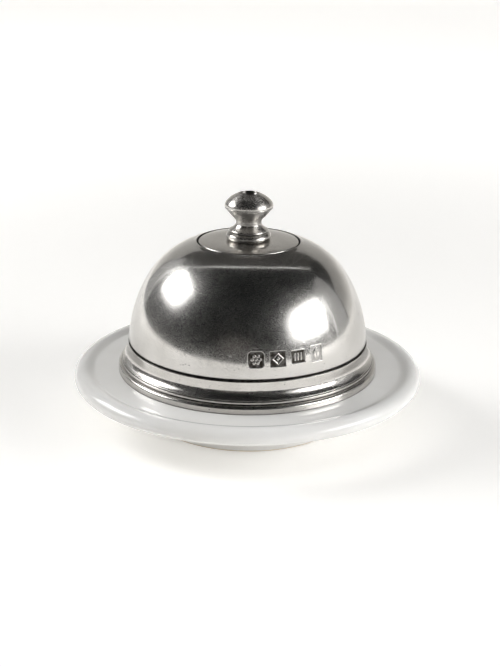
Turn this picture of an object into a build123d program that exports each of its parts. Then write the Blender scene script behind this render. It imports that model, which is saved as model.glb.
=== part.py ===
from build123d import *
from math import acos, asin, cos, sin
import os

# Covered butter dish: a pewter dome with a turned knob, standing on a glazed ceramic dish.
# Everything is turned about the Z axis. The dish stands on z = 0, +Z is up and -Y is the front.

os.makedirs("parts", exist_ok=True)

# ---- dome: sizes in mm ----
dome_radius = 48.4          # outside of the wall, just above the base moulding
dome_rise = 42.1            # from the springing up to where the full curve would close
crown_power = 3.36          # flatness of the curve across the crown
wall_power = 1.65           # fullness of the curve up the wall
shell_wall = 2.0            # pewter thickness of the wall
crown_wall = 1.5            # pewter thickness of the flat under the crown disc
curve_steps = 14            # points carried by each dome curve

# ---- base moulding: the ring soldered round the foot of the dome ----
moulding_height = 11.6      # top edge above the ledge
moulding_projection = 4.4   # foot of the ring beyond the dome wall
moulding_neck = 0.35        # neck of the ring beyond the dome wall
band_height = 3.2           # plain band at the foot
cove_foot = 4.9             # where the flare starts, above the ledge
cove_top = 8.2              # where the flare runs into the neck, above the ledge
flare_inset = 1.5           # foot of the flare inside the plain band
band_bevel = 0.2            # lower edge of the band
band_belly = 0.1            # the band pulls in by this much half way up
band_shoulder = 0.45        # rounding of the band's upper edge
band_turn = 0.58            # height of that rounding
line_depth = 0.45           # two turned lines between band and flare
line_edge = 0.17            # height of each line's steep side
bead_swell = 0.15           # the thread between the two lines stands out by this much
flare_sag = 0.5             # how far the flare is hollowed
neck_lip = 0.25             # lean of the ring's top edge over the dark line
joint_gap = 0.8             # dark line left between ring and dome wall
rebate_depth = 0.8          # dome wall is cut back by this much behind the ring

# ---- crown disc ----
disc_radius = 20.0
disc_edge = 1.3             # thickness at its rim
disc_crowning = 0.7         # rise from rim to middle
disc_lip = 0.5              # rounding of its rim
disc_margin = 1.0           # flat round the knob's base
disc_bulge = 0.72           # share of its rise reached half way in
disc_gap = 0.6              # open line round the disc
disc_recess = 1.15          # depth of its seat below the dome's curve

# ---- knob: heights are above its base ----
knob_base = 7.6
bead_radius = 9.0
bead_top_radius = 8.0
bead_height = 2.9
groove_radius = 7.3
groove_height = 0.6         # turned groove above the bead
land_radius = 7.85          # short land above the groove
cove_foot_radius = 7.6
cove_foot_height = 4.2
neck_radius = 5.1
neck_low = 6.4
neck_high = 7.6
cove_hollow = 0.3           # the cove is hollowed by this much
bell_foot_hollow = 0.12     # and the bell's foot by this much
bell_radius = 6.45          # where the bell's foot turns into the bell under the head
bell_low = 9.3
bell_swell = 0.15           # the bell stands out by this much
collar_radius = 9.55
collar_low = 12.7
collar_high = 13.3
collar_step = 0.45          # collar beyond the bell
head_radius = 9.7
head_low = 13.5
brow_radius = 9.85          # pull points of the head's curve
brow_height = 15.1
crown_radius = 7.7
crown_height = 17.35
knob_height = 18.6
dimple_radius = 3.7
dimple_depth = 1.9
dimple_lip = 0.3            # rounded lip round the dimple

# ---- screw and washer that hold the knob from inside the dome ----
screw_radius = 2.0
screw_clearance = 0.2       # through the shell, the disc and the washer
thread_clearance = 0.05     # inside the knob
screw_bite = 8.0            # length of screw inside the knob
screw_tip_gap = 1.0         # hole beyond the screw's end
screw_head_radius = 3.8
screw_head_height = 2.4
screw_head_round = 0.8
screw_point = 0.5           # bevel at the screw's end
slot_width = 1.0
slot_depth = 1.2
washer_radius = 5.5
washer_thickness = 1.0
washer_bevel = 0.2

# ---- dish ----
ledge_height = 20.9         # flat ledge above the table
ledge_margin = 9.2          # flat ledge left open round the moulding
rim_width = 8.8             # from the edge of the flat ledge to the outside of the dish
rim_rise = 1.4              # crest of the rim above the ledge
crest_inset = 4.0           # crest of the rim inside the outer edge
rim_depth = 6.2             # from the crest down to the underside of the rim
rim_nose = 2.7              # height of the widest point above the underside
nose_inset = 2.2            # underside's edge inside the widest point
slope_shift = 0.5           # middle of the slope to the ledge, outside half way
slope_rise = 0.47           # share of the rim's rise left at that point
dish_wall = 4.6
well_margin = 2.9           # well mouth inside the dome's inner wall
well_lip = 1.6              # rounding of the well mouth
well_depth = 16.2
well_taper = 4.0            # well floor inside the well mouth
well_corner = 6.0           # rounding between well wall and floor
foot_width = 4.2
foot_recess = 1.5           # hollow under the dish, inside the foot ring
foot_round = 0.7
foot_step = 1.1             # outside of the foot ring beyond the well floor
foot_flare = 4.5            # wall above the foot leans out by this much
root_round = 4.0            # rounding between the well's outside and the dish's underside

# ---- places worked out from those sizes ----
springing = ledge_height + moulding_height + joint_gap / 2
shoulder_height = ledge_height + moulding_height + joint_gap
rebate_radius = dome_radius - rebate_depth
inner_radius = dome_radius - shell_wall
moulding_radius = dome_radius + moulding_projection
ledge_radius = moulding_radius + ledge_margin
dish_radius = ledge_radius + rim_width
well_radius = inner_radius - well_margin
well_floor = ledge_height - well_depth
foot_radius = well_radius - well_taper + foot_step


def dome_height_at(radius, rise, at):
    """Height of the dome curve at one radius: (r / radius)^crown + (h / rise)^wall = 1."""
    return springing + rise * (1 - (at / radius) ** crown_power) ** (1 / wall_power)


def dome_curve(radius, rise, start, end):
    """Points on the dome curve between two angles, from the springing (0) to the axis (pi / 2)."""
    angles = [start + (end - start) * step / curve_steps for step in range(curve_steps + 1)]
    return [
        (radius * cos(a) ** (2 / crown_power), springing + rise * sin(a) ** (2 / wall_power))
        for a in angles
    ]


seat_radius = disc_radius + disc_gap
seat_height = dome_height_at(dome_radius, dome_rise, seat_radius) - disc_recess
inner_crown = seat_height - crown_wall
inner_rise = dome_rise - shell_wall
disc_top = seat_height + disc_edge + disc_crowning


# ---- dome shell: spun pewter, rebated at the foot, with a flat seat at the crown ----
shoulder_angle = asin(((shoulder_height - springing) / dome_rise) ** (wall_power / 2))
seat_angle = acos((seat_radius / dome_radius) ** (crown_power / 2))
flat_angle = asin(((inner_crown - springing) / inner_rise) ** (wall_power / 2))
outer_curve = dome_curve(dome_radius, dome_rise, shoulder_angle, seat_angle)
inner_curve = dome_curve(inner_radius, inner_rise, 0, flat_angle)

with BuildPart() as dome_shell:
    with BuildSketch(Plane.XZ):
        with BuildLine():
            Polyline(
                (inner_radius, springing),
                (inner_radius, ledge_height),
                (rebate_radius, ledge_height),
                (rebate_radius, shoulder_height),
                outer_curve[0],
            )
            Spline(*outer_curve)
            Polyline(
                outer_curve[-1],
                (seat_radius, seat_height),
                (screw_radius + screw_clearance, seat_height),
                (screw_radius + screw_clearance, inner_crown),
                inner_curve[-1],
            )
            Spline(*reversed(inner_curve))
        make_face()
    revolve(axis=Axis.Z)
dome_shell.part.label = "dome_shell"


# ---- base moulding: plain band, two turned lines, flare and neck ----
band_top = ledge_height + band_height
flare_foot = ledge_height + cove_foot
flare_top = ledge_height + cove_top
neck_top = ledge_height + moulding_height
flare_radius = moulding_radius - flare_inset
flare_end_radius = dome_radius + moulding_neck
thread_middle = (band_top + flare_foot) / 2
thread_low = thread_middle - (flare_foot - band_top) / 4
thread_high = thread_middle + (flare_foot - band_top) / 4

with BuildPart() as base_moulding:
    with BuildSketch(Plane.XZ):
        with BuildLine():
            Polyline(
                (rebate_radius, neck_top),
                (rebate_radius, ledge_height),
                (moulding_radius - band_bevel, ledge_height),
                (moulding_radius, ledge_height + band_bevel),
                (moulding_radius - band_belly, ledge_height + band_height / 2),
            )
            ThreePointArc(
                (moulding_radius - band_belly, ledge_height + band_height / 2),
                (moulding_radius - band_shoulder, band_top - band_turn),
                (flare_radius, band_top),
            )
            Polyline(
                (flare_radius, band_top),
                (flare_radius - line_depth, band_top + line_edge),
                (flare_radius, thread_low),
            )
            ThreePointArc(
                (flare_radius, thread_low),
                (flare_radius + bead_swell, thread_middle),
                (flare_radius, thread_high),
            )
            Polyline(
                (flare_radius, thread_high),
                (flare_radius - line_depth, flare_foot - line_edge),
                (flare_radius - bead_swell, flare_foot),
            )
            SagittaArc(
                (flare_radius - bead_swell, flare_foot),
                (flare_end_radius, flare_top),
                flare_sag,
            )
            Polyline(
                (flare_end_radius, flare_top),
                (flare_end_radius - neck_lip, neck_top - neck_lip),
                (dome_radius - band_belly, neck_top),
                (rebate_radius, neck_top),
            )
        make_face()
    revolve(axis=Axis.Z)
base_moulding.part.label = "base_moulding"


# ---- crown disc: slightly domed, with a rounded rim, in its seat at the crown ----
disc_rim = seat_height + disc_edge
disc_flat = knob_base + disc_margin
disc_swell = disc_rim + disc_bulge * disc_crowning

with BuildPart() as crown_disc:
    with BuildSketch(Plane.XZ):
        with BuildLine():
            Polyline(
                (screw_radius + screw_clearance, disc_top),
                (screw_radius + screw_clearance, seat_height),
                (disc_radius, seat_height),
                (disc_radius, disc_rim - disc_lip),
            )
            RadiusArc((disc_radius, disc_rim - disc_lip), (disc_radius - disc_lip, disc_rim), -disc_lip)
            ThreePointArc(
                (disc_radius - disc_lip, disc_rim),
                ((disc_radius + disc_flat) / 2, disc_swell),
                (disc_flat, disc_top),
            )
            Line((disc_flat, disc_top), (screw_radius + screw_clearance, disc_top))
        make_face()
    revolve(axis=Axis.Z)
crown_disc.part.label = "crown_disc"


# ---- knob: bead, groove, waisted neck, bell, collar line and domed head with a dimple ----
hole_radius = screw_radius + thread_clearance
hole_top = disc_top + screw_bite + screw_tip_gap
bead_top = disc_top + bead_height
cove_base = disc_top + cove_foot_height
neck_base = disc_top + neck_low
neck_end = disc_top + neck_high
bell_base = disc_top + bell_low
collar_base = disc_top + collar_low
collar_end = disc_top + collar_high
head_base = disc_top + head_low
knob_top = disc_top + knob_height

with BuildPart() as knob:
    with BuildSketch(Plane.XZ):
        with BuildLine():
            Polyline(
                (0, hole_top),
                (hole_radius, hole_top),
                (hole_radius, disc_top),
                (knob_base, disc_top),
            )
            ThreePointArc(
                (knob_base, disc_top),
                (bead_radius, disc_top + bead_height / 2),
                (bead_top_radius, bead_top),
            )
            Polyline(
                (bead_top_radius, bead_top),
                (groove_radius, bead_top + groove_height / 2),
                (land_radius, bead_top + groove_height),
                (cove_foot_radius, cove_base),
            )
            SagittaArc((cove_foot_radius, cove_base), (neck_radius, neck_base), cove_hollow)
            Line((neck_radius, neck_base), (neck_radius, neck_end))
            SagittaArc((neck_radius, neck_end), (bell_radius, bell_base), bell_foot_hollow)
            SagittaArc(
                (bell_radius, bell_base), (collar_radius - collar_step, collar_base), -bell_swell
            )
            Polyline(
                (collar_radius - collar_step, collar_base),
                (collar_radius, collar_base),
                (collar_radius, collar_end),
                (head_radius, head_base),
            )
            Bezier(
                (head_radius, head_base),
                (brow_radius, disc_top + brow_height),
                (crown_radius, disc_top + crown_height),
                (dimple_radius + dimple_lip, knob_top),
            )
            RadiusArc(
                (dimple_radius + dimple_lip, knob_top),
                (dimple_radius, knob_top - dimple_lip),
                -dimple_lip,
            )
            TangentArc(
                (0, knob_top - dimple_depth),
                (dimple_radius, knob_top - dimple_lip),
                tangent=(1, 0),
            )
            Line((0, knob_top - dimple_depth), (0, hole_top))
        make_face()
    revolve(axis=Axis.Z)
knob.part.label = "knob"


# ---- washer and slotted screw inside the dome ----
washer_bottom = inner_crown - washer_thickness
screw_tip = disc_top + screw_bite

with BuildPart() as knob_washer:
    with BuildSketch(Plane.XY.offset(washer_bottom)):
        Circle(washer_radius)
        Circle(screw_radius + screw_clearance, mode=Mode.SUBTRACT)
    extrude(amount=washer_thickness)
    chamfer(knob_washer.edges().filter_by(GeomType.CIRCLE).sort_by(SortBy.RADIUS)[-2:], washer_bevel)
knob_washer.part.label = "knob_washer"

with BuildPart() as knob_screw:
    with BuildSketch(Plane.XY.offset(washer_bottom)):
        Circle(screw_head_radius)
    extrude(amount=-screw_head_height)
    fillet(knob_screw.edges().sort_by(Axis.Z)[0], screw_head_round)
    with BuildSketch(Plane.XY.offset(washer_bottom)):
        Circle(screw_radius)
    extrude(amount=screw_tip - washer_bottom)
    chamfer(knob_screw.edges().sort_by(Axis.Z)[-1], screw_point)
    with BuildSketch(Plane.XY.offset(washer_bottom - screw_head_height)):
        Rectangle(2 * screw_head_radius, slot_width)
    extrude(amount=slot_depth, mode=Mode.SUBTRACT)
knob_screw.part.label = "knob_screw"


# ---- dish: sunken well on a foot ring, flat ledge and rolled rim ----
rim_crest = ledge_height + rim_rise
rim_under = rim_crest - rim_depth
crest_radius = dish_radius - crest_inset
under_ledge = ledge_height - dish_wall
wall_lean = foot_radius + foot_flare
floor_radius = well_radius - well_taper
nose_height = rim_under + rim_nose
slope_middle = (
    (crest_radius + ledge_radius) / 2 + slope_shift,
    ledge_height + slope_rise * rim_rise,
)

with BuildPart() as ceramic_dish:
    with BuildSketch(Plane.XZ):
        with BuildLine():
            Polyline(
                (0, well_floor),
                (0, foot_recess),
                (foot_radius - foot_width - foot_recess, foot_recess),
                (foot_radius - foot_width, 0),
                (foot_radius - foot_round, 0),
            )
            RadiusArc((foot_radius - foot_round, 0), (foot_radius, foot_round), -foot_round)
            Line((foot_radius, foot_round), (wall_lean, under_ledge - root_round))
            RadiusArc(
                (wall_lean, under_ledge - root_round), (wall_lean + root_round, under_ledge), root_round
            )
            Line((wall_lean + root_round, under_ledge), (dish_radius - nose_inset, rim_under))
            EllipticalCenterArc(
                (dish_radius - nose_inset, nose_height),
                nose_inset,
                rim_nose,
                start_angle=270,
                arc_size=90,
            )
            EllipticalCenterArc(
                (crest_radius, nose_height),
                crest_inset,
                rim_depth - rim_nose,
                start_angle=0,
                arc_size=90,
            )
            Spline(
                (crest_radius, rim_crest),
                slope_middle,
                (ledge_radius, ledge_height),
                tangents=((-1, 0), (-1, 0)),
            )
            Line((ledge_radius, ledge_height), (well_radius + well_lip, ledge_height))
            RadiusArc(
                (well_radius + well_lip, ledge_height), (well_radius, ledge_height - well_lip), -well_lip
            )
            Line((well_radius, ledge_height - well_lip), (floor_radius, well_floor + well_corner))
            RadiusArc(
                (floor_radius, well_floor + well_corner),
                (floor_radius - well_corner, well_floor),
                well_corner,
            )
            Line((floor_radius - well_corner, well_floor), (0, well_floor))
        make_face()
    revolve(axis=Axis.Z)
ceramic_dish.part.label = "ceramic_dish"


for piece in (ceramic_dish, dome_shell, base_moulding, crown_disc, knob, knob_washer, knob_screw):
    export_step(piece.part, f"parts/{piece.part.label}.step")
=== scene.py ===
import math

import bpy
import numpy as np
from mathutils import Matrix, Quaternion, Vector


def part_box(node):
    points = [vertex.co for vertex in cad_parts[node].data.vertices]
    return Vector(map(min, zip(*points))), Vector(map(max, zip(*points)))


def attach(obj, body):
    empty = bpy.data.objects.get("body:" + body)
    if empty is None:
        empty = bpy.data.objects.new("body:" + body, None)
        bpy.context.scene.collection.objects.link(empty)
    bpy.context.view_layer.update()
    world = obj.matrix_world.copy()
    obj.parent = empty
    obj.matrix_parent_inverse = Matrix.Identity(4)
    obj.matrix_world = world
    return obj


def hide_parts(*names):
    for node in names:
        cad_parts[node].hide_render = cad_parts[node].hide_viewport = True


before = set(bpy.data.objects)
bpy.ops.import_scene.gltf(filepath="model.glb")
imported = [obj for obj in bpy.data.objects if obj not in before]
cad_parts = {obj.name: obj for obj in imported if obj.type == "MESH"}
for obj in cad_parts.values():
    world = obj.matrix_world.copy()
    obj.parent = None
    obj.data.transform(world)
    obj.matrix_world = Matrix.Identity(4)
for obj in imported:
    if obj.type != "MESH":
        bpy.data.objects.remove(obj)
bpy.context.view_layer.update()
mm = 0.001


# ---- Dish ----
# A white earthenware dish with a clear gloss glaze. It is thrown in one piece: a sunken well on a foot
# ring, a flat ledge for the dome and a rolled rim. The foot ring is wiped bare before firing.

dish_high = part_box("ceramic_dish")[1]
ring_low, ring_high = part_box("base_moulding")
dish_radius = dish_high.x
rim_crest = dish_high.z
ledge_height = ring_low.z
rim_width = 8.8 * mm
ledge_radius = dish_radius - rim_width
rim_centre = 18.8 * mm        # height of the rim's widest point
under_rim = 16.1 * mm         # underside of the rim
under_ledge = 16.3 * mm
crest_inset = 4.0 * mm
nose_inset = 2.2 * mm
foot_radius = 40.6 * mm
foot_width = 4.2 * mm
foot_recess = 1.5 * mm
foot_round = 0.7 * mm
wall_top_radius = 45.1 * mm   # outside of the well, where it curves out under the ledge
root_round = 4.0 * mm
well_radius = 43.5 * mm
well_lip = 1.6 * mm
well_foot_radius = 39.5 * mm
well_floor = 4.7 * mm
well_corner = 6.0 * mm
throwing_wobble = 0.09 * mm   # how far the rim dips as it goes round
closest_points = 0.002 * mm   # nearer points of a profile are taken as one


def arc(centre, radii, start, end, steps):
    """Points of an ellipse's arc: centre + (a cos t, b sin t), with t from start to end in degrees."""
    turn = np.radians(np.linspace(start, end, steps + 1))
    return np.stack([centre[0] + radii[0] * np.cos(turn), centre[1] + radii[1] * np.sin(turn)], -1)


def run(start, end, steps):
    """Points of a straight run: start + (end - start) t, with t crowded towards both ends as a cosine."""
    t = (1 - np.cos(np.linspace(0, math.pi, steps + 1))) / 2
    return np.array(start) + np.outer(t, np.subtract(end, start))


def joined(*stretches):
    """One profile of (radius, height) points from stretches laid end to end.

    A point that repeats the one before it is dropped, and so is a first point that repeats the last.
    """
    points = np.concatenate(stretches)
    step = np.linalg.norm(points - np.roll(points, 1, axis=0), axis=1)
    return points[step > closest_points]


def turned(name, profile, angles, shift=None):
    """Surface of revolution: the point (r, z) of the profile goes to (r cos t, r sin t, z) at each angle t.

    The profile runs anticlockwise in (r, z), so that faces point outward. It is closed on itself, or it
    starts and ends on the axis, where each end is one pole. shift is added to the grid of points.
    """
    poled = profile[0, 0] < 1e-9
    grid = np.empty((len(profile), len(angles), 3))
    grid[..., 0] = profile[:, :1] * np.cos(angles)
    grid[..., 1] = profile[:, :1] * np.sin(angles)
    grid[..., 2] = profile[:, 1:]
    if shift is not None:
        grid = grid + shift
    rows, columns = grid.shape[:2]
    points = grid.reshape(-1, 3)
    number = np.arange(rows * columns).reshape(rows, columns)
    if poled:
        # each end's row of equal points becomes one point
        points = points[columns - 1:(rows - 1) * columns + 1]
        number = np.clip(number - columns + 1, 0, len(points) - 1)
    low = number[1:-2] if poled else number
    high = number[2:-1] if poled else np.roll(number, -1, axis=0)
    quads = np.stack([low, np.roll(low, -1, 1), np.roll(high, -1, 1), high], -1)
    faces = quads.reshape(-1, 4).tolist()
    if poled:
        first, last = number[1], number[-2]
        faces += np.stack([number[0], np.roll(first, -1), first], -1).tolist()
        faces += np.stack([number[-1], last, np.roll(last, -1)], -1).tolist()
    mesh = bpy.data.meshes.new(name)
    mesh.from_pydata(points.tolist(), [], faces)
    mesh.shade_smooth()
    piece = bpy.data.objects.new(name, mesh)
    bpy.context.scene.collection.objects.link(piece)
    return piece


def even_angles(count):
    """That many angles, evenly spaced round the axis."""
    return np.linspace(0, 2 * math.pi, count, endpoint=False)


def glazed_dish():
    """The dish's profile: out along the underside, up and over the rolled rim, and in to the well's floor.

    The last number of each stretch is how many steps it is divided into.
    """
    wiped = foot_radius - foot_width
    root_radius, root_height = wall_top_radius + root_round, under_ledge - root_round
    floor_radius, corner_height = well_foot_radius - well_corner, well_floor + well_corner
    return joined(
        run((0, foot_recess), (wiped - foot_recess, foot_recess), 14),
        run((wiped - foot_recess, foot_recess), (wiped, 0), 5),
        run((wiped, 0), (foot_radius - foot_round, 0), 6),
        arc((foot_radius - foot_round, foot_round), (foot_round, foot_round), -90, 0, 6),
        run((foot_radius, foot_round), (wall_top_radius, root_height), 12),
        arc((root_radius, root_height), (root_round, root_round), 180, 90, 8),
        run((root_radius, under_ledge), (dish_radius - nose_inset, under_rim), 16),
        arc((dish_radius - nose_inset, rim_centre), (nose_inset, rim_centre - under_rim), -90, 0, 10),
        arc((dish_radius - crest_inset, rim_centre), (crest_inset, rim_crest - rim_centre), 0, 90, 14),
        rim_slope(10),
        run((ledge_radius, ledge_height), (well_radius + well_lip, ledge_height), 18),
        arc((well_radius + well_lip, ledge_height - well_lip), (well_lip, well_lip), 90, 180, 8),
        run((well_radius, ledge_height - well_lip), (well_foot_radius, corner_height), 10),
        arc((floor_radius, corner_height), (well_corner, well_corner), 0, -90, 10),
        run((floor_radius, well_floor), (0, well_floor), 16),
    )


def rim_slope(steps):
    """The slope from the rim's crest down to the ledge: half a cosine wave, level at both ends."""
    t = np.linspace(0, 1, steps + 1)
    radius = dish_radius - crest_inset - t * (dish_radius - crest_inset - ledge_radius)
    return np.stack([radius, ledge_height + (rim_crest - ledge_height) * (1 + np.cos(math.pi * t)) / 2], -1)


def wobble(profile, angles):
    """Unevenness of throwing: heights fall by the wobble times w^2 (0.5 + 0.3 sin(2t + 0.7) + 0.2 sin 3t).

    t is the angle round the axis, and w the share of the way from the ledge's edge out to the rim.
    """
    outer = np.clip((profile[:, 0] - ledge_radius) / (dish_radius - ledge_radius), 0, 1) ** 2
    wave = 0.5 + 0.3 * np.sin(2 * angles + 0.7) + 0.2 * np.sin(3 * angles)
    lift = np.zeros((len(profile), len(angles), 3))
    lift[..., 2] = -throwing_wobble * outer[:, None] * wave
    return lift


def glaze_material():
    """Clear gloss glaze over white clay: faint dimpling, a little colour drift and bare clay on the foot."""
    material = bpy.data.materials.new("white_glaze")
    material.use_nodes = True
    nodes, links = material.node_tree.nodes, material.node_tree.links
    shader = nodes["Principled BSDF"]
    place = nodes.new("ShaderNodeTexCoord")
    drift = nodes.new("ShaderNodeTexNoise")
    drift.inputs["Scale"].default_value = 26
    drift.inputs["Detail"].default_value = 3
    tint = nodes.new("ShaderNodeValToRGB")
    tint.color_ramp.elements[0].position = 0.3
    tint.color_ramp.elements[0].color = (0.80, 0.79, 0.765, 1)
    tint.color_ramp.elements[1].position = 0.7
    tint.color_ramp.elements[1].color = (0.87, 0.865, 0.85, 1)
    height = nodes.new("ShaderNodeSeparateXYZ")
    ragged = nodes.new("ShaderNodeTexNoise")
    ragged.inputs["Scale"].default_value = 420
    edge = nodes.new("ShaderNodeMath")
    edge.operation = "MULTIPLY_ADD"
    edge.inputs[1].default_value = -0.5 * mm
    bare = nodes.new("ShaderNodeMapRange")
    bare.inputs["From Min"].default_value = 0.55 * mm
    bare.inputs["From Max"].default_value = 0.25 * mm
    clay = nodes.new("ShaderNodeMix")
    clay.data_type = "RGBA"
    clay.inputs["B"].default_value = (0.70, 0.63, 0.53, 1)
    gloss = nodes.new("ShaderNodeMapRange")
    gloss.inputs["To Min"].default_value = 0.09
    gloss.inputs["To Max"].default_value = 0.75
    dimples = nodes.new("ShaderNodeTexNoise")
    dimples.inputs["Scale"].default_value = 150
    dimples.inputs["Detail"].default_value = 1
    relief = nodes.new("ShaderNodeBump")
    relief.inputs["Strength"].default_value = 0.5
    relief.inputs["Distance"].default_value = 0.02 * mm
    for texture in (drift, ragged, dimples, height):
        links.new(place.outputs["Object"], texture.inputs[0])
    links.new(drift.outputs["Fac"], tint.inputs["Fac"])
    links.new(ragged.outputs["Fac"], edge.inputs[0])
    links.new(height.outputs["Z"], edge.inputs[2])
    links.new(edge.outputs["Value"], bare.inputs["Value"])
    links.new(bare.outputs["Result"], clay.inputs["Factor"])
    links.new(tint.outputs["Color"], clay.inputs["A"])
    links.new(clay.outputs["Result"], shader.inputs["Base Color"])
    links.new(bare.outputs["Result"], gloss.inputs["Value"])
    links.new(gloss.outputs["Result"], shader.inputs["Roughness"])
    links.new(dimples.outputs["Fac"], relief.inputs["Height"])
    links.new(relief.outputs["Normal"], shader.inputs["Normal"])
    return material


dish_profile = glazed_dish()
dish_angles = even_angles(300)
dish = turned("dish", dish_profile, dish_angles, wobble(dish_profile, dish_angles))
dish.data.materials.append(glaze_material())
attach(dish, "dish")
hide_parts("ceramic_dish")


# ---- Dome ----
# Cast and spun pewter, polished outside. Its foot is cut back behind the base moulding, its crown has a
# flat seat for the disc, and four small marks are struck into the wall beside the front.

disc_low, disc_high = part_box("crown_disc")
washer_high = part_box("knob_washer")[1]
joint_gap = 0.8 * mm
dome_radius = 48.4 * mm
dome_rise = 42.1 * mm
crown_power = 3.36
wall_power = 1.65
shell_wall = 2.0 * mm
rebate_radius = 47.6 * mm
screw_hole = 2.2 * mm
disc_gap = 0.6 * mm
seat_radius = disc_high.x + disc_gap
seat_height = disc_low.z
inner_crown = washer_high.z
springing = ring_high.z + joint_gap / 2
shoulder_height = ring_high.z + joint_gap
rebate_ease = 0.1 * mm        # bevel in the corner of the rebate
edge_round = 0.32 * mm        # polished corners
dent_depth = 0.012 * mm

mark_height = 40.9 * mm       # middle of the struck marks
mark_depth = 0.32 * mm
mark_slope = 0.16 * mm        # width of a mark's sloping side
mark_ground = 0.3 * mm        # a raised figure stays this far inside its mark
mark_burr = 0.03 * mm         # metal thrown up round a mark
burr_middle = 0.22 * mm       # how far outside a mark it stands highest
burr_width = 0.12 * mm
wall_lean = 1.01              # length along the wall for each unit of height, at the marks

band_half = 4.3 * mm          # the wall is finely divided this far above and below the marks
band_turn = (-1.5, 38.5)      # and between these angles, in degrees round from the front
mark_pitch = 0.14 * mm        # spacing of the section's points over the marks
wall_pitch = 0.45 * mm        # below them
crown_pitch = 0.9 * mm        # above them
inner_pitch = 1.7 * mm        # and inside


def dome_curve(radius, rise, start, end, pitch):
    """The curve (r / radius)^crown + (h / rise)^wall = 1 between two angles, at an even pitch along it."""
    a = np.linspace(start, end, 2000)
    r = radius * np.cos(a) ** (2 / crown_power)
    z = springing + rise * np.sin(a) ** (2 / wall_power)
    along = np.concatenate([[0], np.cumsum(np.hypot(np.diff(r), np.diff(z)))])
    even = np.linspace(0, along[-1], max(2, round(along[-1] / pitch) + 1))
    return np.stack([np.interp(even, along, r), np.interp(even, along, z)], -1)


def angle_at_height(rise, height):
    """The curve's angle at a height above the springing: h = rise sin(a)^(2 / wall), turned round."""
    return math.asin(((height - springing) / rise) ** (wall_power / 2))


def dome_profile():
    """The shell's section, closed on itself: foot, rebate, outer curve, disc seat, hole and inner curve."""
    inner_radius, inner_rise = dome_radius - shell_wall, dome_rise - shell_wall
    start = angle_at_height(dome_rise, shoulder_height + edge_round)
    seat = math.acos((seat_radius / dome_radius) ** (crown_power / 2))
    marks_low = angle_at_height(dome_rise, mark_height - band_half)
    marks_high = angle_at_height(dome_rise, mark_height + band_half)
    flat = angle_at_height(inner_rise, inner_crown)
    outer = np.concatenate([
        dome_curve(dome_radius, dome_rise, start, marks_low, wall_pitch)[:-1],
        dome_curve(dome_radius, dome_rise, marks_low, marks_high, mark_pitch),
        dome_curve(dome_radius, dome_rise, marks_high, seat, crown_pitch)[1:],
    ])
    lip = outer[-1]
    outer = outer[:-1]
    inner = dome_curve(inner_radius, inner_rise, 0.0, flat, inner_pitch)[::-1]
    foot_outer = outer[0, 0]
    return joined(
        run((inner_radius, ledge_height), (rebate_radius, ledge_height), 3),
        run((rebate_radius, ledge_height), (rebate_radius, shoulder_height - rebate_ease), 4),
        run((rebate_radius + rebate_ease, shoulder_height), (foot_outer - edge_round, shoulder_height), 2),
        arc((foot_outer - edge_round, shoulder_height + edge_round), (edge_round, edge_round), -90, -15, 4),
        outer,
        arc((lip[0] + edge_round, lip[1] - 0.6 * edge_round), (edge_round, edge_round), 65, 180, 5),
        run((lip[0], lip[1] - 0.7 * edge_round), (seat_radius, seat_height), 3),
        run((seat_radius, seat_height), (screw_hole, seat_height), 6),
        run((screw_hole, seat_height), (screw_hole, inner_crown), 2),
        run((screw_hole, inner_crown), inner[0], 6),
        inner,
        run((inner_radius, springing), (inner_radius, ledge_height), 5),
    )


def dome_angles():
    """Angles round the axis: fine where the marks are struck, right of the front, and wider elsewhere."""
    front = -math.pi / 2
    fine = front + np.radians(np.linspace(*band_turn, 250))
    wide = np.linspace(fine[-1], fine[0] + 2 * math.pi, 118)[1:-1]
    return np.concatenate([fine, wide])


def box_distance(x, y, half_width, half_height, corner):
    """Signed distance to a rectangle with rounded corners: below zero inside it."""
    dx, dy = np.abs(x) - half_width + corner, np.abs(y) - half_height + corner
    outside = np.hypot(np.maximum(dx, 0), np.maximum(dy, 0))
    return outside + np.minimum(np.maximum(dx, dy), 0) - corner


def rosette(x, y):
    """Six round petals about a round middle, as a signed distance."""
    turn, petal_out, petal_radius, middle_radius = np.pi / 3, 1.45 * mm, 0.62 * mm, 0.55 * mm
    around = np.mod(np.arctan2(y, x) + turn / 2, turn) - turn / 2
    far = np.hypot(x, y)
    petal = np.hypot(far * np.cos(around) - petal_out, far * np.sin(around)) - petal_radius
    return np.minimum(petal, far - middle_radius)


def lozenges(x, y):
    """A lozenge outline with a small lozenge inside it, as a signed distance."""
    outline, half_line, middle = 2.05 * mm, 0.33 * mm, 0.75 * mm
    size = np.abs(x) + np.abs(y)
    return np.minimum(np.abs(size - outline) - half_line, size - middle) * 0.7


def three_bars(x, y):
    """Three upright bars side by side, as a signed distance."""
    spacing, half_width, half_height, corner = 1.25 * mm, 0.34 * mm, 1.45 * mm, 0.15 * mm
    nearest = x - spacing * np.clip(np.round(x / spacing), -1, 1)
    return box_distance(nearest, y, half_width, half_height, corner)


def leaf(x, y):
    """A pointed leaf with a cut midrib: two crossing circles less a thin line, as a signed distance."""
    centre_off, circle_radius, half_rib, rib_slant = 1.5 * mm, 2.75 * mm, 0.16 * mm, 0.12
    blade = np.hypot(np.abs(x) + centre_off, y) - circle_radius
    return np.maximum(blade, half_rib - np.abs(x + rib_slant * y))


# each mark: degrees round from the front, half width, half height, corner, raised figure and how dark it is
struck_marks = (
    (3.9, 3.05 * mm, 3.0 * mm, 1.5 * mm, rosette, 1.0),
    (14.0, 3.05 * mm, 2.85 * mm, 0.2 * mm, lozenges, 1.0),
    (23.7, 2.8 * mm, 2.35 * mm, 0.2 * mm, three_bars, 1.0),
    (33.4, 2.4 * mm, 2.9 * mm, 0.2 * mm, leaf, 0.4),
)


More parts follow.
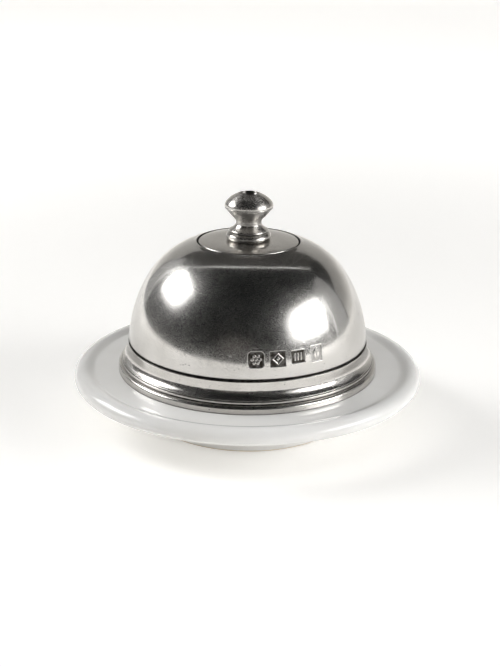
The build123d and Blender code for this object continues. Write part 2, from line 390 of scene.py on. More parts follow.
def struck(profile, angles):
    """Depth and darkness of the marks at each grid point, on the outer wall only.

    A mark is its cartouche pressed in with sloping sides, less its raised figure, with a burr round it.
    """
    r, z = profile[:, 0], profile[:, 1]
    wall = np.arange(len(profile)) < 0.7 * len(profile)
    wall &= (r > rebate_radius - 4 * mm) & (z > shoulder_height + edge_round)
    wall &= z < mark_height + 3 * band_half
    depth = np.zeros((len(profile), len(angles)))
    dark = np.zeros_like(depth)
    y = (z - mark_height)[:, None] * wall_lean
    for degrees, half_width, half_height, corner, figure, darkness in struck_marks:
        off = np.mod(angles + math.pi / 2 - math.radians(degrees) + math.pi, 2 * math.pi) - math.pi
        x = off * r[:, None]
        edge = box_distance(x, y, half_width, half_height, corner)
        pressed = np.clip(0.5 - edge / mark_slope, 0, 1)
        raised = np.clip(0.5 - figure(x, y) / mark_slope, 0, 1) * np.clip(-edge / mark_ground, 0, 1)
        burr = np.exp(-((edge - burr_middle) / burr_width) ** 2)
        depth += wall[:, None] * (mark_depth * (pressed - 0.85 * raised) - mark_burr * burr)
        dark += wall[:, None] * darkness * pressed * (1 - 0.9 * raised)
    return depth, dark


def dents(profile, angles):
    """Very shallow unevenness left by hand polishing: a sum of slow waves round and up the wall."""
    a, z = angles[None, :], profile[:, 1:] / mm
    wave = np.sin(5 * a + 0.11 * z) + 0.8 * np.sin(9 * a - 0.17 * z + 1.3)
    wave += 0.6 * np.sin(14 * a + 0.23 * z + 4.1)
    fade = np.clip((profile[:, 1:] - shoulder_height) / (6 * mm), 0, 1)
    fade = fade * np.clip((profile[:, :1] - seat_radius) / (10 * mm), 0, 1)
    return dent_depth * wave * fade


def outward(profile):
    """Unit normals of a closed profile: the direction between its neighbours, turned a quarter clockwise."""
    along = np.roll(profile, -1, 0) - np.roll(profile, 1, 0)
    along /= np.linalg.norm(along, axis=1, keepdims=True)
    return np.stack([along[:, 1], -along[:, 0]], -1)


def pewter_material(name, dull, bright, turning, polish, brushed=0.0):
    """Polished pewter: fine scratches in crossing directions, pits, soft cloudiness and painted shade.

    Its colour drifts between dull and bright. turning is the strength of the lathe's rings, polish the
    roughness of the clean metal, and brushed how far its shine spreads across the rings. The darkness
    stored on the piece's points, from 0 to 1, darkens it: painted shade in gaps, at joints and in hollows,
    and darkened lines and marks.
    """
    material = bpy.data.materials.new(name)
    material.use_nodes = True
    nodes, links = material.node_tree.nodes, material.node_tree.links
    shader = nodes["Principled BSDF"]
    shader.inputs["Metallic"].default_value = 1.0
    shader.inputs["Anisotropic"].default_value = brushed
    shader.inputs["Anisotropic Rotation"].default_value = 0.25
    rounds = nodes.new("ShaderNodeTangent")
    rounds.direction_type = "RADIAL"
    rounds.axis = "Z"
    links.new(rounds.outputs["Tangent"], shader.inputs["Tangent"])
    place = nodes.new("ShaderNodeTexCoord").outputs["Object"]

    def noise(scale, detail, vector=place):
        texture = nodes.new("ShaderNodeTexNoise")
        texture.inputs["Scale"].default_value = scale
        texture.inputs["Detail"].default_value = detail
        links.new(vector, texture.inputs["Vector"])
        return texture.outputs["Fac"]

    def spread(value, low, high, to_low, to_high):
        ramp = nodes.new("ShaderNodeMapRange")
        for socket, number in zip(ramp.inputs[1:5], (low, high, to_low, to_high)):
            socket.default_value = number
        links.new(value, ramp.inputs["Value"])
        return ramp.outputs["Result"]

    def combine(operation, a, b):
        node = nodes.new("ShaderNodeMath")
        node.operation = operation
        for socket, value in zip(node.inputs, (a, b)):
            if isinstance(value, (int, float)):
                socket.default_value = value
            else:
                links.new(value, socket)
        return node.outputs["Value"]

    def scratches(turn, long_scale, fine_scale, share):
        """Thin lines along one direction: noise drawn out lengthwise, with only its crests kept."""
        lay = nodes.new("ShaderNodeMapping")
        lay.inputs["Rotation"].default_value = turn
        lay.inputs["Scale"].default_value = (long_scale, fine_scale, fine_scale)
        links.new(place, lay.inputs["Vector"])
        return spread(noise(1.0, 1.0, lay.outputs["Vector"]), share, share + 0.06, 0.0, 1.0)

    cross = scratches((0.3, 0.9, 0.9), 90, 1700, 0.69)
    back = scratches((1.1, -0.7, -0.7), 70, 1500, 0.71)
    marks = combine("MAXIMUM", cross, back)

    specks = nodes.new("ShaderNodeTexVoronoi")
    specks.inputs["Scale"].default_value = 520
    links.new(place, specks.inputs["Vector"])
    pit = spread(specks.outputs["Distance"], 0.06, 0.15, 1.0, 0.0)
    some = spread(noise(160, 0), 0.57, 0.63, 0.0, 1.0)
    pits = combine("MULTIPLY", pit, some)

    # lathe rings: noise that depends only on the distance from the axis and the height
    rings = nodes.new("ShaderNodeVectorMath")
    rings.operation = "LENGTH"
    flat = nodes.new("ShaderNodeVectorMath")
    flat.operation = "MULTIPLY"
    flat.inputs[1].default_value = (1, 1, 0)
    links.new(place, flat.inputs[0])
    links.new(flat.outputs["Vector"], rings.inputs[0])
    heights = nodes.new("ShaderNodeSeparateXYZ")
    links.new(place, heights.inputs["Vector"])
    section = nodes.new("ShaderNodeCombineXYZ")
    links.new(rings.outputs["Value"], section.inputs["X"])
    links.new(heights.outputs["Z"], section.inputs["Y"])
    lathe = noise(2600, 2, section.outputs["Vector"])

    # scratches and pits go in, lathe rings and a fine grain stand out, and a slow swell lies under them
    relief = combine("MULTIPLY", marks, -0.6)
    relief = combine("SUBTRACT", relief, combine("MULTIPLY", pits, 1.6))
    relief = combine("ADD", relief, combine("MULTIPLY", lathe, turning))
    relief = combine("ADD", relief, combine("MULTIPLY", noise(900, 2), 0.26))
    fine = nodes.new("ShaderNodeBump")
    fine.inputs["Distance"].default_value = 0.012 * mm
    fine.inputs["Strength"].default_value = 1.0
    links.new(relief, fine.inputs["Height"])
    slow = nodes.new("ShaderNodeBump")
    slow.inputs["Distance"].default_value = 0.06 * mm
    slow.inputs["Strength"].default_value = 1.0
    links.new(noise(75, 1), slow.inputs["Height"])
    links.new(slow.outputs["Normal"], fine.inputs["Normal"])
    links.new(fine.outputs["Normal"], shader.inputs["Normal"])

    # painted shade: the stored darkness, with a mottle, mixes near-black into the metal where shade falls in
    # gaps, at joints and in the dimple, and it also darkens cut lines and struck marks
    shade_and_grime = nodes.new("ShaderNodeAttribute")
    shade_and_grime.attribute_name = "shade_and_grime"
    mottled_shade_and_grime = combine("MULTIPLY", shade_and_grime.outputs["Fac"], spread(noise(700, 2), 0.3, 0.6, 0.75, 1.0))
    dirt_and_painted_shade = combine("MAXIMUM", mottled_shade_and_grime, combine("MULTIPLY", pits, 0.85))
    cloud = nodes.new("ShaderNodeValToRGB")
    cloud.color_ramp.elements[0].position = 0.35
    cloud.color_ramp.elements[0].color = (*dull, 1)
    cloud.color_ramp.elements[1].position = 0.65
    cloud.color_ramp.elements[1].color = (*bright, 1)
    links.new(noise(55, 4), cloud.inputs["Fac"])
    # the near-black colour of the painted shade, of the darkened lines and marks, and of the pits
    colour = nodes.new("ShaderNodeMix")
    colour.data_type = "RGBA"
    colour.inputs["B"].default_value = (0.045, 0.04, 0.034, 1)
    links.new(cloud.outputs["Color"], colour.inputs["A"])
    links.new(dirt_and_painted_shade, colour.inputs["Factor"])
    links.new(colour.outputs["Result"], shader.inputs["Base Color"])

    # the clean metal's roughness, then a grain too fine to see singly, then a soft haze
    haze = spread(noise(120, 5), 0.3, 0.7, polish - 0.02, polish + 0.04)
    haze = combine("ADD", haze, spread(noise(12000, 0), 0.56, 0.62, 0.0, 0.24))
    haze = combine("ADD", haze, spread(noise(2600, 1), 0.47, 0.67, 0.0, 0.13))
    rough = combine("ADD", haze, combine("MULTIPLY", marks, 0.10))
    rough = combine("ADD", rough, combine("MULTIPLY", dirt_and_painted_shade, 0.35))
    links.new(rough, shader.inputs["Roughness"])
    return material


def set_shade_and_grime(piece, values):
    """Stores the darkness of each of a piece's points for its material: painted shade, and darkened lines
    and marks.
    """
    attribute = piece.data.attributes.new("shade_and_grime", "FLOAT", "POINT")
    attribute.data.foreach_set("value", np.clip(values, 0, 1).astype(np.float32).ravel())


dome_section = dome_profile()
around = dome_angles()
depth, dark = struck(dome_section, around)
inward = outward(dome_section)[:, None, :] * (dents(dome_section, around) - depth)[..., None]
sunk = np.empty((len(dome_section), len(around), 3))
sunk[..., 0] = inward[..., 0] * np.cos(around)
sunk[..., 1] = inward[..., 0] * np.sin(around)
sunk[..., 2] = inward[..., 1]
dome = turned("dome", dome_section, around, sunk)
# Painted shade: the dome is darkened just above its joint with the moulding and round the seat in the gap
# where the disc sits. The struck marks are darkened too.
painted_shade_reach = 0.12 * mm
dome_r, dome_z = dome_section[:, :1], dome_section[:, 1:]
dome_joint_painted_shade = np.exp(-np.clip(dome_z - shoulder_height, 0, None) / painted_shade_reach)
seat_painted_shade = (dome_r < seat_radius + painted_shade_reach) & (dome_z > seat_height - 0.1 * mm)
set_shade_and_grime(dome, np.maximum(dark, np.maximum(0.8 * dome_joint_painted_shade, 0.95 * seat_painted_shade)))
dome_pewter = pewter_material("pewter_wall", (0.56, 0.545, 0.52), (0.66, 0.645, 0.62), 0.0, 0.09)
dome.data.materials.append(dome_pewter)
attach(dome, "dome")
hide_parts("dome_shell")


# ---- Base moulding ----
# A turned pewter ring soldered round the foot of the dome: a plain band, two cut lines with a thread
# between them, a hollow flare and a short neck that stops just short of the wall.

band_top = ledge_height + 3.2 * mm
flare_foot = ledge_height + 4.9 * mm
flare_top = ledge_height + 8.2 * mm
neck_top = ring_high.z
ring_radius = ring_high.x
flare_radius = ring_radius - 1.5 * mm
flare_end_radius = dome_radius + 0.35 * mm
flare_hollow = 0.5 * mm
line_depth = 0.45 * mm
line_edge = 0.17 * mm         # height of a cut line's steep side
thread_middle = (band_top + flare_foot) / 2
thread_half = (flare_foot - band_top) / 4
thread_swell = 0.15 * mm
band_bevel = 0.2 * mm
band_shoulder = band_top - 1.3 * mm
neck_shoulder = neck_top - 0.3 * mm
ring_columns = 360


def flare(start, end, sag, steps):
    """A shallow hollow from start to end: the straight run less sag times 4 t (1 - t), square to the run."""
    t = np.linspace(0, 1, steps + 1)
    way = np.subtract(end, start)
    side = np.array([-way[1], way[0]]) / np.hypot(*way)
    return np.array(start) + np.outer(t, way) + np.outer(4 * t * (1 - t) * sag, side)


def ring_profile():
    """The ring's section: foot, band, two lines about a thread, hollow flare, neck and back."""
    band_end = ring_radius - 0.1 * mm
    line_bottom, line_top = flare_radius - line_depth, flare_foot - line_edge
    thread_foot, thread_top = thread_middle - thread_half, thread_middle + thread_half
    flare_start = flare_radius - thread_swell
    neck_radius = flare_end_radius - 0.12 * mm
    return joined(
        run((rebate_radius, ledge_height), (ring_radius - band_bevel, ledge_height), 6),
        arc((ring_radius - band_bevel, ledge_height + band_bevel), (band_bevel, band_bevel), -90, 0, 5),
        flare((ring_radius, ledge_height + band_bevel), (band_end, band_shoulder), 0.04 * mm, 6),
        arc((flare_radius - 0.1 * mm, band_shoulder), (1.5 * mm, 1.22 * mm), 0, 78, 10),
        arc((flare_radius - 0.02 * mm, band_top + 0.12 * mm), (0.25 * mm, 0.1 * mm), -120, -180, 3),
        run((line_bottom, band_top + 0.15 * mm), (flare_radius, thread_foot), 4),
        arc((flare_radius, thread_middle), (thread_swell, thread_half), -90, 90, 8),
        run((flare_radius, thread_top), (line_bottom, line_top), 4),
        run((line_bottom, line_top), (flare_start, flare_foot), 3),
        flare((flare_start, flare_foot), (flare_end_radius, flare_top), flare_hollow, 16),
        flare((flare_end_radius, flare_top), (neck_radius, neck_shoulder), 0.02 * mm, 8),
        arc((dome_radius - 0.05 * mm, neck_shoulder), (0.28 * mm, 0.3 * mm), 0, 90, 5),
        run((dome_radius - 0.1 * mm, neck_top), (rebate_radius, neck_top), 2),
        run((rebate_radius, neck_top), (rebate_radius, ledge_height), 6),
    )


ring_section = ring_profile()
moulding = turned("moulding", ring_section, even_angles(ring_columns))
ring_r, ring_z = ring_section[:, 0], ring_section[:, 1]
# The cut lines are darkened, and painted shade is put at the top of the neck under the joint with the dome
# and at the foot where the ring stands on the ledge.
in_lines = np.clip((flare_radius + 0.04 * mm - ring_r) / (0.16 * mm), 0, 1)
in_lines = in_lines * (ring_z > band_top - 0.05 * mm) * (ring_z < flare_foot - 0.05 * mm)
ring_joint_painted_shade = np.clip((ring_z - neck_top + 0.25 * mm) / (0.2 * mm), 0, 1)
ledge_contact_painted_shade = np.exp(-((ring_z - ledge_height) / (0.34 * mm)) ** 2)
ring_shade_and_grime = np.maximum.reduce([in_lines, ring_joint_painted_shade, ledge_contact_painted_shade])
set_shade_and_grime(moulding, np.repeat(ring_shade_and_grime, ring_columns))
ring_pewter = pewter_material("pewter_ring", (0.58, 0.56, 0.53), (0.68, 0.66, 0.63), 0.3, 0.10, 0.3)
moulding.data.materials.append(ring_pewter)
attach(moulding, "dome")
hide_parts("base_moulding")


# ---- Crown disc ----
# A turned pewter disc, slightly domed, that drops into the seat at the crown. An open line stays round
# it, and the knob's base stands on its middle.

disc_radius = disc_high.x
disc_rim = disc_low.z + 1.3 * mm
disc_lip = 0.45 * mm
disc_under_lip = 0.15 * mm
disc_flat = 8.6 * mm          # radius of the level middle that the knob stands on
disc_columns = 240
knob_base = 7.9 * mm          # where the knob stands on it, with painted shade round its foot


def disc_profile():
    """The disc's section: flat underside, rounded rim and a top that falls by the cube of the way out."""
    edge_radius, edge_height = disc_radius - disc_under_lip, disc_low.z + disc_under_lip
    t = np.linspace(0, 1, 22)
    top = np.stack([
        disc_radius - disc_lip - t * (disc_radius - disc_lip - disc_flat),
        disc_high.z - (disc_high.z - disc_rim) * (1 - t) ** 3,
    ], -1)
    return joined(
        run((screw_hole, disc_low.z), (edge_radius, disc_low.z), 6),
        arc((edge_radius, edge_height), (disc_under_lip, disc_under_lip), -90, 0, 3),
        arc((disc_radius - disc_lip, disc_rim - disc_lip), (disc_lip, disc_lip), 0, 78, 10),
        top,
        run((disc_flat, disc_high.z), (screw_hole, disc_high.z), 5),
        run((screw_hole, disc_high.z), (screw_hole, disc_low.z), 2),
    )


disc_section = disc_profile()
disc = turned("disc", disc_section, even_angles(disc_columns))
# Painted shade on the disc's under-edge in the gap round it, and in a ring where the knob's foot stands.
disc_edge_painted_shade = (disc_section[:, 0] > disc_radius - 0.1 * mm) & (disc_section[:, 1] < disc_rim - 0.38 * mm)
knob_contact_painted_shade = np.exp(-np.abs(disc_section[:, 0] - knob_base) / (0.3 * mm))
set_shade_and_grime(disc, np.repeat(np.maximum(0.95 * disc_edge_painted_shade, 0.6 * knob_contact_painted_shade), disc_columns))
disc_pewter = pewter_material("pewter_disc", (0.56, 0.54, 0.51), (0.64, 0.62, 0.59), 0.3, 0.10, 0.3)
disc.data.materials.append(disc_pewter)
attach(disc, "dome")
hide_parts("crown_disc")


# ---- Knob ----
# A turned pewter knob, screwed on from inside the dome: a bead, a cut groove, a waist with one fine line,
# a bell under a raised collar, and a domed head with a dimple left by the lathe's centre.

knob_low, knob_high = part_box("knob")
knob_foot, knob_top = knob_low.z, knob_high.z
hole_radius = 2.05 * mm
hole_end = 9.0                # these heights are in mm above the knob's foot
bead_middle = 1.45
groove_height = 3.2
cove_foot = 4.2
waist_low = 6.4
waist_line = 7.02
waist_high = 7.6
bell_low = 9.3
bell_high = 12.55
head_low = 13.5
waist_radius = 5.1 * mm
bell_radius = 6.45 * mm
dimple_radius = 3.7 * mm
dimple_depth = 1.9 * mm
dimple_lip = 0.3 * mm
knob_columns = 200


def above(height):
    """A height above the knob's foot, in the frame."""
    return knob_foot + height * mm


def pulled(points, steps):
    """A curve drawn by four pull points: (1-t)^3 a + 3 t (1-t)^2 b + 3 t^2 (1-t) c + t^3 d."""
    t = np.linspace(0, 1, steps + 1)[:, None]
    a, b, c, d = np.array(points)
    return (1 - t) ** 3 * a + 3 * t * (1 - t) ** 2 * b + 3 * t ** 2 * (1 - t) * c + t ** 3 * d


def knob_profile():
    """The knob's section, from the screw hole's end round the outside to the bottom of the dimple."""
    head = [
        (9.7 * mm, above(head_low)),
        (9.85 * mm, above(15.1)),
        (7.7 * mm, above(17.35)),
        (dimple_radius + dimple_lip, knob_top),
    ]
    return joined(
        run((0, above(hole_end)), (hole_radius, above(hole_end)), 3),
        run((hole_radius, above(hole_end)), (hole_radius, knob_foot), 4),
        run((hole_radius, knob_foot), (7.5 * mm, knob_foot), 4),
        arc((7.4 * mm, above(bead_middle)), (1.6 * mm, bead_middle * mm), -85, 68, 20),
        arc((7.68 * mm, above(groove_height)), (0.36 * mm, 0.28 * mm), 250, 110, 6),
        arc((7.74 * mm, above(3.62)), (0.1 * mm, 0.1 * mm), -60, 20, 3),
        flare((7.62 * mm, above(cove_foot)), (waist_radius, above(waist_low)), 0.3 * mm, 10),
        run((waist_radius, above(6.45)), (waist_radius, above(6.9)), 3),
        arc((waist_radius, above(waist_line)), (0.14 * mm, 0.1 * mm), 270, 90, 4),
        run((waist_radius, above(7.15)), (waist_radius, above(waist_high)), 3),
        flare((waist_radius, above(waist_high)), (bell_radius, above(bell_low)), 0.12 * mm, 10),
        flare((bell_radius, above(bell_low)), (9.1 * mm, above(bell_high)), -0.15 * mm, 14)[1:],
        arc((9.2 * mm, above(12.7)), (0.12 * mm, 0.13 * mm), -90, 30, 4),
        arc((9.38 * mm, above(12.86)), (0.15 * mm, 0.12 * mm), -80, 60, 4),
        arc((9.42 * mm, above(13.12)), (0.13 * mm, 0.12 * mm), -60, 70, 4),
        arc((9.6 * mm, above(head_low)), (0.1 * mm, 0.12 * mm), -110, 0, 4)[:-1],
        pulled(head, 26),
        arc((dimple_radius, knob_top - dimple_lip), (dimple_lip, dimple_lip), 80, 175, 5),
        dimple_bowl(13),
    )


def dimple_bowl(steps):
    """The dimple from its rim to its bottom, a quarter of an ellipse."""
    t = np.linspace(0, math.pi / 2, steps + 1)
    fall = (dimple_depth - dimple_lip) * np.sin(t)
    return np.stack([dimple_radius * np.cos(t), knob_top - dimple_lip - fall], -1)


def dark_line(height, half_width, inside):
    """Darkening along a turned line: e^-(d / half width)^2, with d the height from it, outside a radius."""
    return np.exp(-((knob_z - above(height)) / half_width) ** 2) * (knob_r > inside)


knob_section = knob_profile()
knob = turned("knob_turned", knob_section, even_angles(knob_columns))
knob_r, knob_z = knob_section[:, 0], knob_section[:, 1]
# Painted shade and reflection inside the dimple and on its rim, and painted shade at the foot where the knob
# stands on the disc. The cut and collar lines are darkened, and the waist and bell by about a third.
dimple_painted_shade = 0.55 * (knob_r < dimple_radius - 0.4 * mm) * (knob_z > knob_top - 3 * mm)
dimple_rim_painted_shade = 0.9 * np.exp(-((knob_r - 3.75 * mm) / (0.22 * mm)) ** 2) * (knob_z > knob_top - 1 * mm)
waist_and_bell_darkening = 0.32 * (knob_z > above(waist_low - 0.1)) * (knob_z < above(bell_high - 0.05)) * (knob_r > 3 * mm)
knob_foot_painted_shade = np.exp(-(knob_z - knob_foot) / painted_shade_reach) * (knob_r > 6 * mm)
knob_shade_and_grime = np.maximum.reduce([
    dark_line(groove_height, 0.3 * mm, 6 * mm),
    0.8 * dark_line(waist_line, 0.1 * mm, 4 * mm),
    0.7 * dark_line(12.9, 0.14 * mm, 6 * mm),
    0.8 * dark_line(13.4, 0.12 * mm, 6 * mm),
    dimple_painted_shade,
    dimple_rim_painted_shade,
    waist_and_bell_darkening,
    knob_foot_painted_shade,
])
between_poles = np.repeat(knob_shade_and_grime[1:-1], knob_columns)
set_shade_and_grime(knob, np.concatenate([knob_shade_and_grime[:1], between_poles, knob_shade_and_grime[-1:]]))
knob_pewter = pewter_material("pewter_knob", (0.55, 0.53, 0.50), (0.65, 0.63, 0.60), 0.5, 0.17, 0.85)
knob.data.materials.append(knob_pewter)
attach(knob, "dome")
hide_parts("knob")


# ---- Screw and washer ----
# A slotted steel screw goes up through a thin washer, the shell and the disc into the knob. Both are
# turned from bar, and they only show from under the dome.


def steel_material():
    """Plain turned steel: grey metal with fine rings about the axis and a little dull oxide."""
    material = bpy.data.materials.new("turned_steel")
    material.use_nodes = True
    nodes, links = material.node_tree.nodes, material.node_tree.links
    shader = nodes["Principled BSDF"]
    shader.inputs["Metallic"].default_value = 1.0
    place = nodes.new("ShaderNodeTexCoord")
    rings = nodes.new("ShaderNodeTexWave")
    rings.wave_type = "RINGS"
    rings.rings_direction = "Z"
    rings.inputs["Scale"].default_value = 900
    rings.inputs["Distortion"].default_value = 1.5
    oxide = nodes.new("ShaderNodeTexNoise")
    oxide.inputs["Scale"].default_value = 500
    tone = nodes.new("ShaderNodeValToRGB")
    tone.color_ramp.elements[0].color = (0.34, 0.33, 0.33, 1)
    tone.color_ramp.elements[1].color = (0.60, 0.60, 0.61, 1)
    dull = nodes.new("ShaderNodeMapRange")
    dull.inputs["To Min"].default_value = 0.45
    dull.inputs["To Max"].default_value = 0.25
    relief = nodes.new("ShaderNodeBump")
    relief.inputs["Distance"].default_value = 0.01 * mm
    for texture in (rings, oxide):
        links.new(place.outputs["Object"], texture.inputs["Vector"])
    links.new(oxide.outputs["Fac"], tone.inputs["Fac"])
    links.new(tone.outputs["Color"], shader.inputs["Base Color"])
    links.new(oxide.outputs["Fac"], dull.inputs["Value"])
    links.new(dull.outputs["Result"], shader.inputs["Roughness"])
    links.new(rings.outputs["Fac"], relief.inputs["Height"])
    links.new(relief.outputs["Normal"], shader.inputs["Normal"])
    return material


steel = steel_material()
for name in ("knob_screw", "knob_washer"):
    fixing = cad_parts[name]
    fixing.data.materials.clear()
    fixing.data.materials.append(steel)


# ---- Table and paper ----
# A pale table top under the dish and, well behind it, a sheet of white paper that stands higher than
# the dish. Neither is part of the object.

table_front, table_back = -1.4, 2.7
table_side = 6.0
table_colour = (0.93, 0.92, 0.90)
paper_left, paper_right, paper_height = -1.7, 5.0, 1.8
near_glow, far_glow = 0.25, 0.75


def staged(name, points, faces, material):
    """A sheet of card or paper from its points and faces."""
    mesh = bpy.data.meshes.new(name)
    mesh.from_pydata(points, [], faces)
    mesh.materials.append(material)
    sheet = bpy.data.objects.new(name, mesh)
    bpy.context.scene.collection.objects.link(sheet)
    return sheet


def panel(name, corners, material):
    """A flat four-cornered sheet through the given points, in order, with its own 0 to 1 UV map."""
    sheet = staged(name, [tuple(corner) for corner in corners], [(0, 1, 2, 3)], material)
    sheet.data.uv_layers.new(name="sheet").data.foreach_set("uv", [0, 0, 1, 0, 1, 1, 0, 1])
    return sheet


def pale(name, colour, glow):
    """Matt pale card that also glows a little, as if lit from lamps out of sight."""
    material = bpy.data.materials.new(name)
    material.use_nodes = True
    shader = material.node_tree.nodes["Principled BSDF"]
    shader.inputs["Base Color"].default_value = (*colour, 1)
    shader.inputs["Roughness"].default_value = 0.9
    shader.inputs["Specular IOR Level"].default_value = 0.1
    shader.inputs["Emission Color"].default_value = (*colour, 1)
    shader.inputs["Emission Strength"].default_value = glow
    return material


def glow_along(material, distance, start, end):
    """Makes a card's glow go smoothly from start's (distance, glow) pair to end's.

    distance is upward, in shares of the sheet's height, or outward, in metres from the dish's middle.
    """
    nodes, links = material.node_tree.nodes, material.node_tree.links
    place = nodes.new("ShaderNodeTexCoord")
    if distance == "upward":
        measure = nodes.new("ShaderNodeSeparateXYZ")
        links.new(place.outputs["UV"], measure.inputs["Vector"])
        length = measure.outputs["Y"]
    else:
        measure = nodes.new("ShaderNodeVectorMath")
        measure.operation = "LENGTH"
        links.new(place.outputs["Object"], measure.inputs[0])
        length = measure.outputs["Value"]
    change = nodes.new("ShaderNodeMapRange")
    change.interpolation_type = "SMOOTHSTEP"
    change.inputs["From Min"].default_value = start[0]
    change.inputs["From Max"].default_value = end[0]
    change.inputs["To Min"].default_value = start[1]
    change.inputs["To Max"].default_value = end[1]
    links.new(length, change.inputs["Value"])
    links.new(change.outputs["Result"], nodes["Principled BSDF"].inputs["Emission Strength"])


table_top = pale("table_top", table_colour, near_glow)
glow_along(table_top, "outward", (0.2, near_glow), (0.9, far_glow))
panel("table", [
    (-table_side, table_front, 0),
    (table_side, table_front, 0),
    (table_side, table_back, 0),
    (-table_side, table_back, 0),
], table_top)
paper_white = pale("paper_white", (0.6, 0.59, 0.57), 0.85)
glow_along(paper_white, "upward", (0.0, 0.85), (0.45, 0.25))
panel("paper", [
    (paper_left, table_back, 0),
    (paper_right, table_back, 0),
    (paper_right, table_back, paper_height),
    (paper_left, table_back, paper_height),
], paper_white)


# ---- Far floor and wall ----
# Pale card laid under the table and stood all round it, four metres out, so that the dish has a plain
# ground from every side. The dish neither shows it nor takes light from it.

floor_height = -0.001
wall_radius, wall_foot, wall_top = 4.0, -0.01, 5.0
wall_sides = 64


def round_wall(name, material):
    """A card wall all round: a circle at the wall's foot joined to one at its top."""
    t = even_angles(wall_sides)
    ring = wall_radius * np.stack([np.cos(t), np.sin(t)], -1)
    points = [np.column_stack([ring, np.full(wall_sides, height)]) for height in (wall_foot, wall_top)]
    first = np.arange(wall_sides)
    after = np.roll(first, -1)
    faces = np.stack([first, first + wall_sides, after + wall_sides, after], -1)
    return staged(name, np.concatenate(points).tolist(), faces.tolist(), material)


far_floor = panel("far_floor", [
    (-table_side, -table_side, floor_height),
    (table_side, -table_side, floor_height),
    (table_side, table_side, floor_height),
    (-table_side, table_side, floor_height),
], table_top)
far_wall = round_wall("far_wall", pale("wall_card", (0.85, 0.84, 0.82), 0.9))
for sheet in (far_floor, far_wall):
    sheet.visible_glossy = False
    sheet.visible_diffuse = False
    sheet.visible_shadow = False


# ---- Hood ----
# A dark hood over the back of the table, with a curved front edge that glows in place of a lit edge.
# Only the polished metal shows it, as a dark crown and a thin bright line across the dome.

hood_height = 1.8
hood_lip = 0.055              # width of the lit edge, in metres
hood_steps = 40
hood_x = np.linspace(-1.9, 1.5, hood_steps + 1)
hood_front = 0.52 + 0.32 * hood_x ** 2
hood_back = np.full_like(hood_x, table_back)


def hood_sheet(name, near, far, material):
    """A level sheet overhead between two curves: y = near + v (far - near) at each x, v from 0 to 1."""
    x, v = np.meshgrid(hood_x, [0.0, 1.0])
    points = np.stack([x, near + v * (far - near), np.full_like(x, hood_height)], -1)
    first = np.arange(hood_steps)
    after = first + hood_steps + 1
    faces = np.stack([first, after, after + 1, first + 1], -1)
    sheet = staged(name, points.reshape(-1, 3).tolist(), faces.tolist(), material)
    sheet.visible_camera = False


hood_sheet("hood", hood_front + hood_lip, hood_back, pale("hood_grey", (0.02, 0.019, 0.018), 1.0))
# the edge is a glowing card, a painted highlight that the metal shows as a thin bright line
hood_sheet("hood_glowing_edge", hood_front, hood_front + hood_lip, pale("hood_edge", (0.7, 0.7, 0.7), 1.9))


# ---- Lights ----
# Two large soft lamps, left and right of the dish and a little above it, with a narrow strip and a dim
# card beside each and a dim warm card in front, in a dark room. All are glowing sheets, which the polished
# metal shows as soft patches. One more soft lamp overhead, which the metal doesn't show, lights the glaze.

lamp_aim = (0, 0, 0.05)
lamp_corners = ((-1, -1), (1, -1), (1, 1), (-1, 1))
warm = (1.0, 0.93, 0.88)


def lamp(name, turn, rise, distance, width, height, strength, fades, colour=(1, 1, 1)):
    """A glowing sheet that faces the dish: turn is degrees round from the front, rise is degrees up.

    fades are the shares of its size over which its light falls away to nothing at its back, front, lower and
    upper edge: the four smooth steps are multiplied together, then squared.
    """
    a, e = math.radians(turn), math.radians(rise)
    towards = np.array([math.sin(a) * math.cos(e), -math.cos(a) * math.cos(e), math.sin(e)])
    across = np.array([math.cos(a), math.sin(a), 0.0]) * (1 if turn < 0 else -1)
    up = np.array([-math.sin(a) * math.sin(e), math.cos(a) * math.sin(e), math.cos(e)])
    centre = towards * distance + np.array(lamp_aim)
    corners = [centre + i * across * width / 2 + j * up * height / 2 for i, j in lamp_corners]
    material = bpy.data.materials.new(name)
    material.use_nodes = True
    nodes, links = material.node_tree.nodes, material.node_tree.links
    nodes.clear()
    out = nodes.new("ShaderNodeOutputMaterial")
    glow = nodes.new("ShaderNodeEmission")
    glow.inputs["Color"].default_value = (*colour, 1)
    place = nodes.new("ShaderNodeTexCoord")
    split = nodes.new("ShaderNodeSeparateXYZ")
    links.new(place.outputs["UV"], split.inputs["Vector"])
    light = None
    for axis, edge, fade in zip("XXYY", (0, 1, 0, 1), fades):
        step = nodes.new("ShaderNodeMapRange")
        step.interpolation_type = "SMOOTHSTEP"
        step.inputs["From Min"].default_value = edge
        step.inputs["From Max"].default_value = edge + fade * (1 - 2 * edge)
        links.new(split.outputs[axis], step.inputs["Value"])
        product = nodes.new("ShaderNodeMath")
        product.operation = "MULTIPLY"
        product.inputs[0].default_value = 1.0
        if light is not None:
            links.new(light, product.inputs[0])
        links.new(step.outputs["Result"], product.inputs[1])
        light = product.outputs["Value"]
    square = nodes.new("ShaderNodeMath")
    square.operation = "POWER"
    square.inputs[1].default_value = 2.0
    power = nodes.new("ShaderNodeMath")
    power.operation = "MULTIPLY"
    power.inputs[1].default_value = strength
    links.new(light, square.inputs[0])
    links.new(square.outputs["Value"], power.inputs[0])
    links.new(power.outputs["Value"], glow.inputs["Strength"])
    links.new(glow.outputs["Emission"], out.inputs["Surface"])
    panel(name, corners, material).visible_camera = False


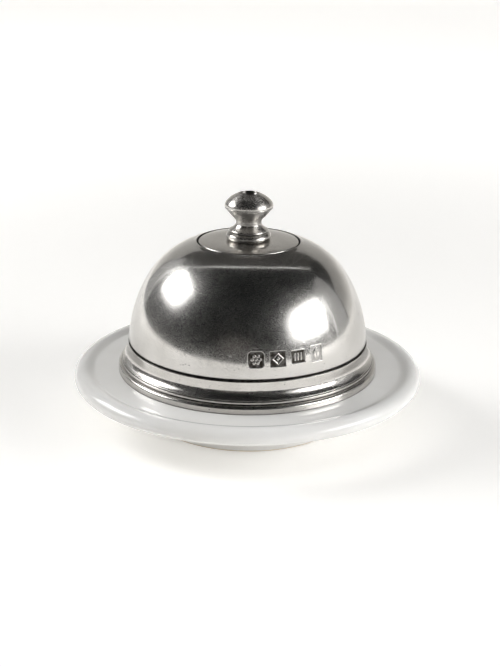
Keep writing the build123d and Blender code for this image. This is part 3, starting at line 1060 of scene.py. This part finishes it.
lamp("lamp_left", -95, 31, 1.5, 1.42, 1.0, 10.0, (0.06, 0.6, 0.5, 0.25))
lamp("lamp_right", 59, 22, 1.5, 1.65, 1.1, 10.0, (0.06, 0.6, 0.4, 0.45))
lamp("strip_left", -131, 23, 1.6, 0.10, 1.42, 0.9, (0.1, 0.1, 0.02, 0.1))
lamp("strip_right", 95, 16, 1.6, 0.07, 0.9, 1.6, (0.1, 0.1, 0.1, 0.1))
lamp("side_grey_right", 106, 18, 2.2, 0.85, 1.7, 0.36, (0.04, 0.04, 0.04, 0.04))
lamp("side_grey_left", -140, 18, 2.2, 0.45, 1.5, 0.34, (0.04, 0.04, 0.04, 0.04))
lamp("front_dim", -12, 11, 2.4, 2.4, 1.1, 0.12, (0.45, 0.45, 0.45, 0.45), warm)

soft_top = bpy.data.lights.new("soft_top", "AREA")
soft_top.size = 1.4
soft_top.energy = 12
soft_top_lamp = bpy.data.objects.new("soft_top", soft_top)
soft_top_lamp.location = (0, -0.8, 1.3)
soft_top_lamp.rotation_euler = (math.radians(-31), 0, 0)
soft_top_lamp.visible_glossy = False
bpy.context.scene.collection.objects.link(soft_top_lamp)

room = bpy.data.worlds.new("dim_room")
bpy.context.scene.world = room
room.use_nodes = True
background = room.node_tree.nodes["Background"]
background.inputs["Color"].default_value = (0.95, 1.0, 1.0, 1)
background.inputs["Strength"].default_value = 0.006


# ---- Camera ----
# A long lens half a metre from the dish, looking down about twenty degrees at the front of it. It is
# rolled a little about its own axis, and everything is in focus.

eye = np.array([0.0, -0.4643, 0.2025])
aim = np.array([0.0, 0.0, 0.0344])
roll = Quaternion((0, 0, 1), math.radians(0.61))
camera_data = bpy.data.cameras.new("camera")
camera_data.sensor_fit = "HORIZONTAL"
camera_data.sensor_width = 36
camera_data.lens = 86.83
camera_data.shift_x = 0.0048
camera_data.clip_start = 0.01
camera_data.clip_end = 50
camera = bpy.data.objects.new("camera", camera_data)
bpy.context.scene.collection.objects.link(camera)
camera.rotation_mode = "QUATERNION"
camera.location = eye
camera.rotation_quaternion = Vector(aim - eye).to_track_quat("-Z", "Y") @ roll
bpy.context.scene.camera = camera
bpy.context.scene.view_settings.view_transform = "Standard"
